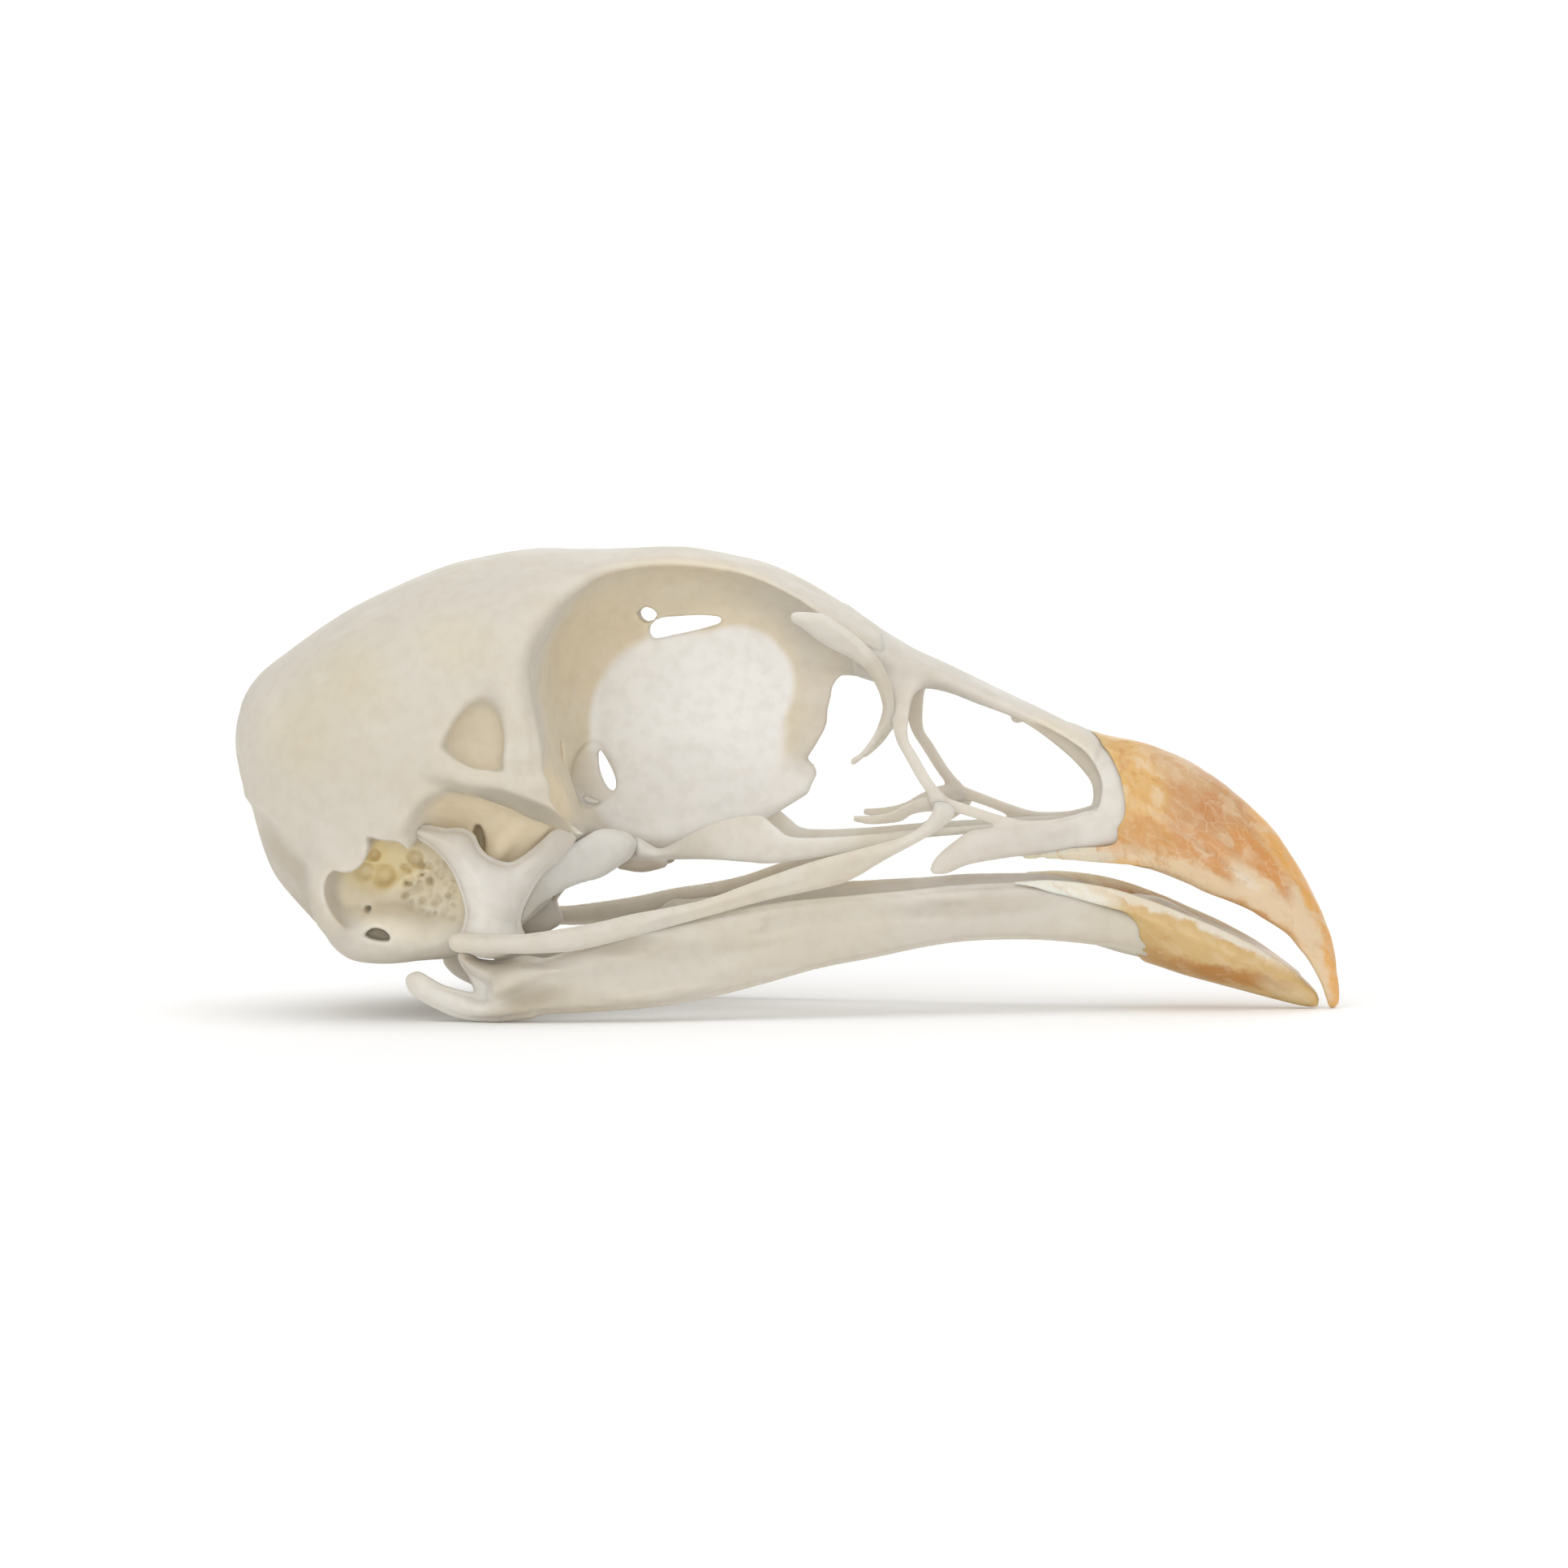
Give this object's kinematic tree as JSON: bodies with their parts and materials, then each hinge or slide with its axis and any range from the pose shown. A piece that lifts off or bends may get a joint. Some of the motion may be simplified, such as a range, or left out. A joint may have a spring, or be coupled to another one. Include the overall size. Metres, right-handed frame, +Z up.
{
  "type": "chukar partridge skull",
  "caption": "Life-size bird skull with hooked horn bill sheaths, open eye sockets and nostrils, thin cheek bars and a slender lower jaw, standing on its lower jaw and bill tip.",
  "frame": {"origin": "middle of the bounding box's base, on the surface that the skull stands on", "axes": "+X towards the tip of the bill, +Y to the bird's left, +Z up"},
  "size_m": [0.0544, 0.0216, 0.0228],
  "materials": {
    "bone": "cleaned dry bone, ivory white, matt to faintly waxy",
    "upper_horn": "dry amber and tan horn, satin, finely cracked",
    "lower_horn": "dry straw-coloured horn, satin"
  },
  "bodies": {
    "root": {"cranium": "bone", "upper_jaw": "bone", "mandible": "bone", "right_quadrate": "bone", "left_quadrate": "bone", "right_pterygoid": "bone", "left_pterygoid": "bone", "right_palatine": "bone", "left_palatine": "bone", "right_jugal_bar": "bone", "left_jugal_bar": "bone", "right_lacrimal": "bone", "left_lacrimal": "bone", "upper_beak_sheath": "upper_horn", "lower_beak_sheath": "lower_horn"}
  },
  "joints": []
}
